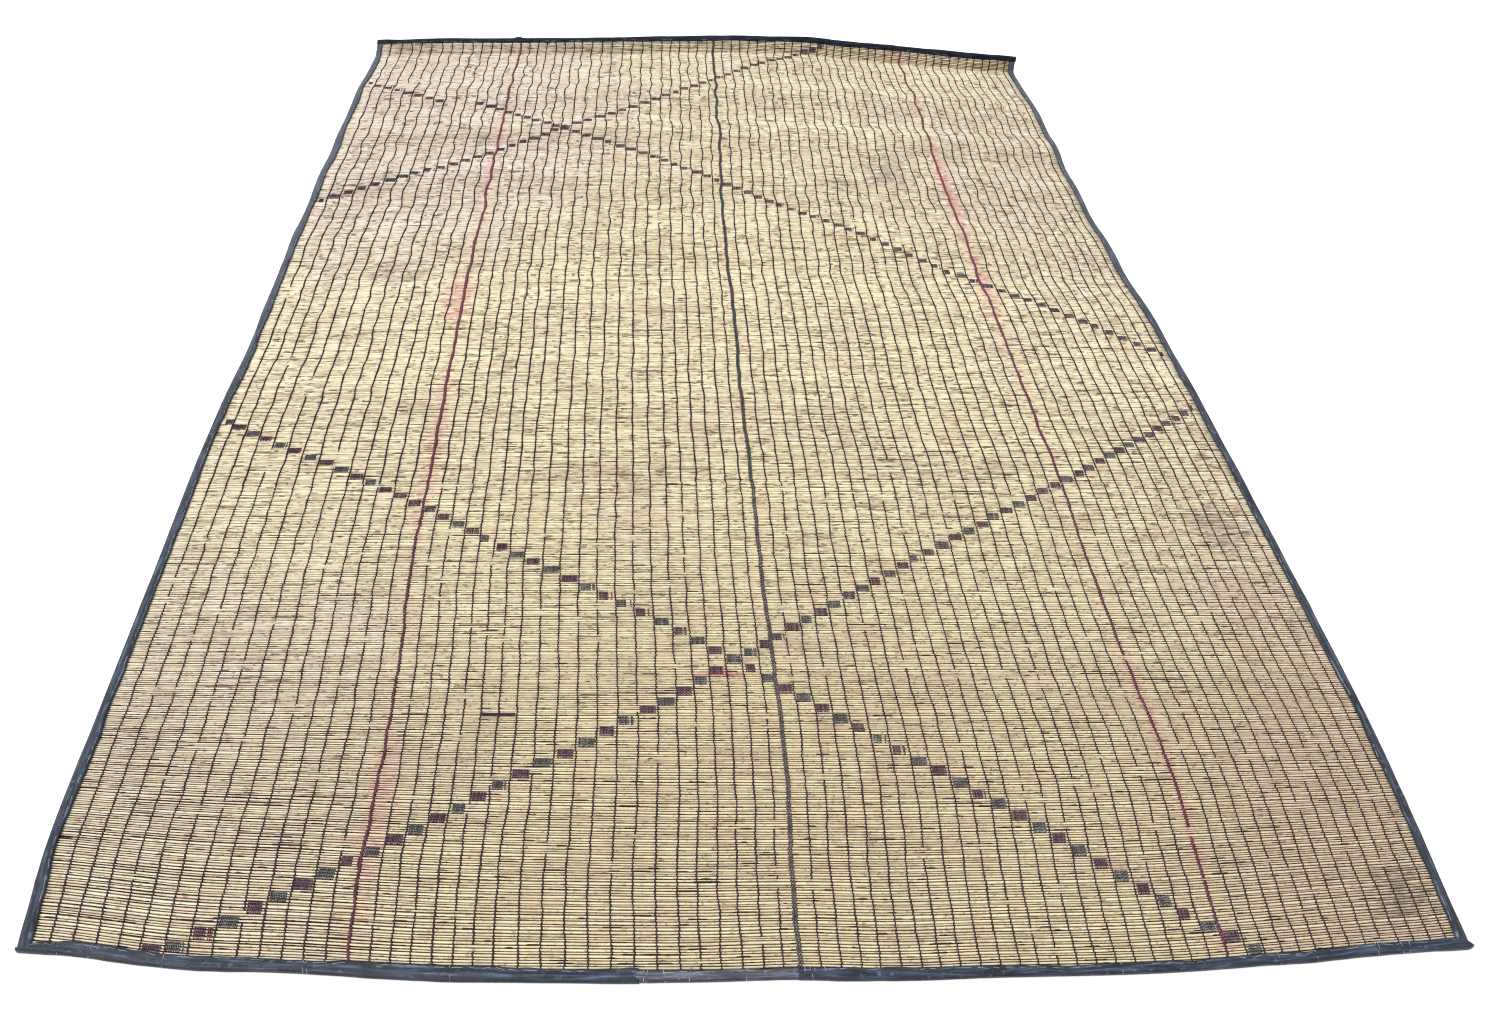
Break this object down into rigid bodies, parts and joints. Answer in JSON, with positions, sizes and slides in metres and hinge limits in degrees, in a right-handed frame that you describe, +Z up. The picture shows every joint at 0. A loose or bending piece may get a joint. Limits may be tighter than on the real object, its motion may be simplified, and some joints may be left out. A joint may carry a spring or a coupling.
{
  "type": "straw mat",
  "caption": "Flat floor mat of crosswise reeds laced together lengthwise with leather, its edges bound in folded dark leather and its far end turned up.",
  "frame": {"origin": "on the floor, at the middle of the mat's box", "axes": "+Z up, +Y along the laces from the near edge to the turned-up far edge, +X along the reeds to the right"},
  "size_m": [2.0537, 3.0975, 0.0553],
  "materials": {
    "reed": "pale dry reed stems, slightly glossy",
    "leather_binding": "worn dark blue-black leather, satin",
    "lacing": "thin dark brown leather thong, matte",
    "dyed_lacing": "thin leather thong dyed plum and magenta, matte",
    "stitching": "pale cotton thread"
  },
  "bodies": {
    "root": {"reed_mat": "reed", "near_binding": "leather_binding", "far_binding": "leather_binding", "left_binding": "leather_binding", "right_binding": "leather_binding"}
  },
  "joints": []
}
